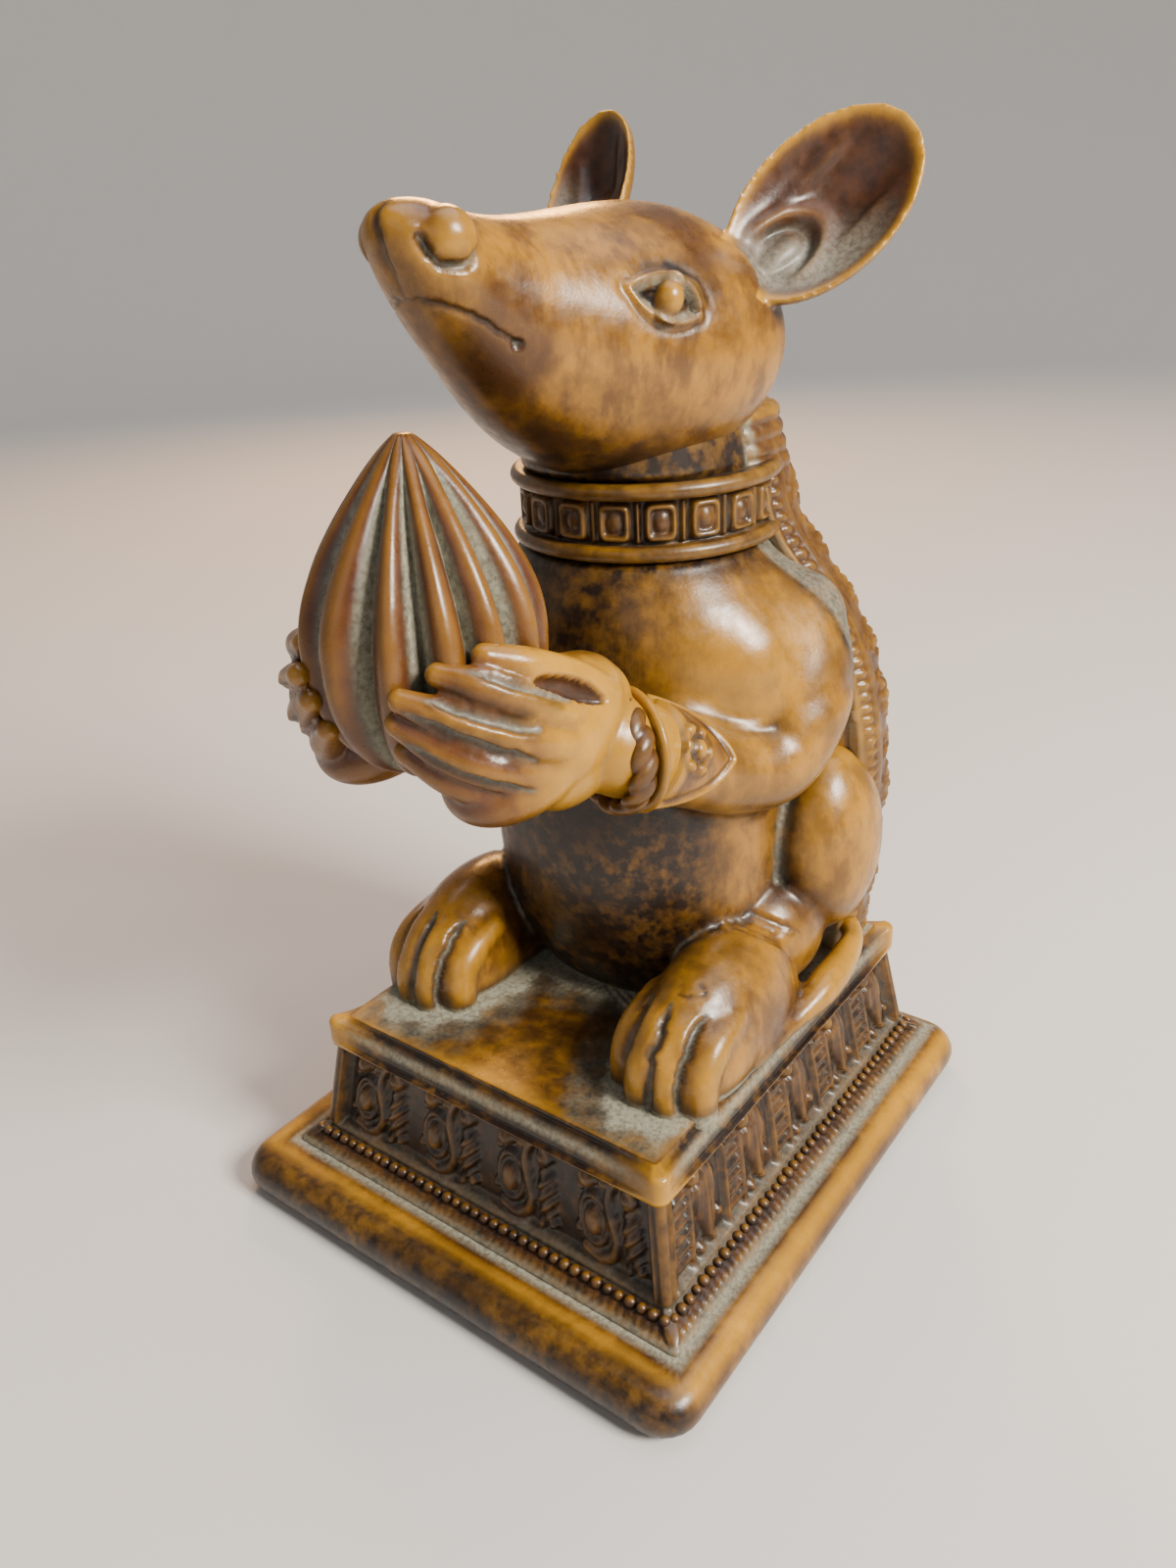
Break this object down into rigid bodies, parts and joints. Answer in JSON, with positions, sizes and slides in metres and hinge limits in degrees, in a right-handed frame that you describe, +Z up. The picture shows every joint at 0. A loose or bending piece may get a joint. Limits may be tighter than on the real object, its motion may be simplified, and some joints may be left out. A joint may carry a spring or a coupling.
{
  "type": "mouse figurine",
  "caption": "Seated stone mouse holding a ribbed teardrop sweet in both hands, on a stepped plinth with carved scrolls.",
  "frame": {"origin": "centre of the plinth's underside", "axes": "+Z up, the mouse faces -Y, its left side is towards +X"},
  "size_m": [0.0592, 0.066, 0.1071],
  "materials": {
    "soapstone": "polished honey-brown stone with dark recesses and grey-green grime"
  },
  "bodies": {
    "root": {"mouse_figurine": "soapstone"}
  },
  "joints": []
}
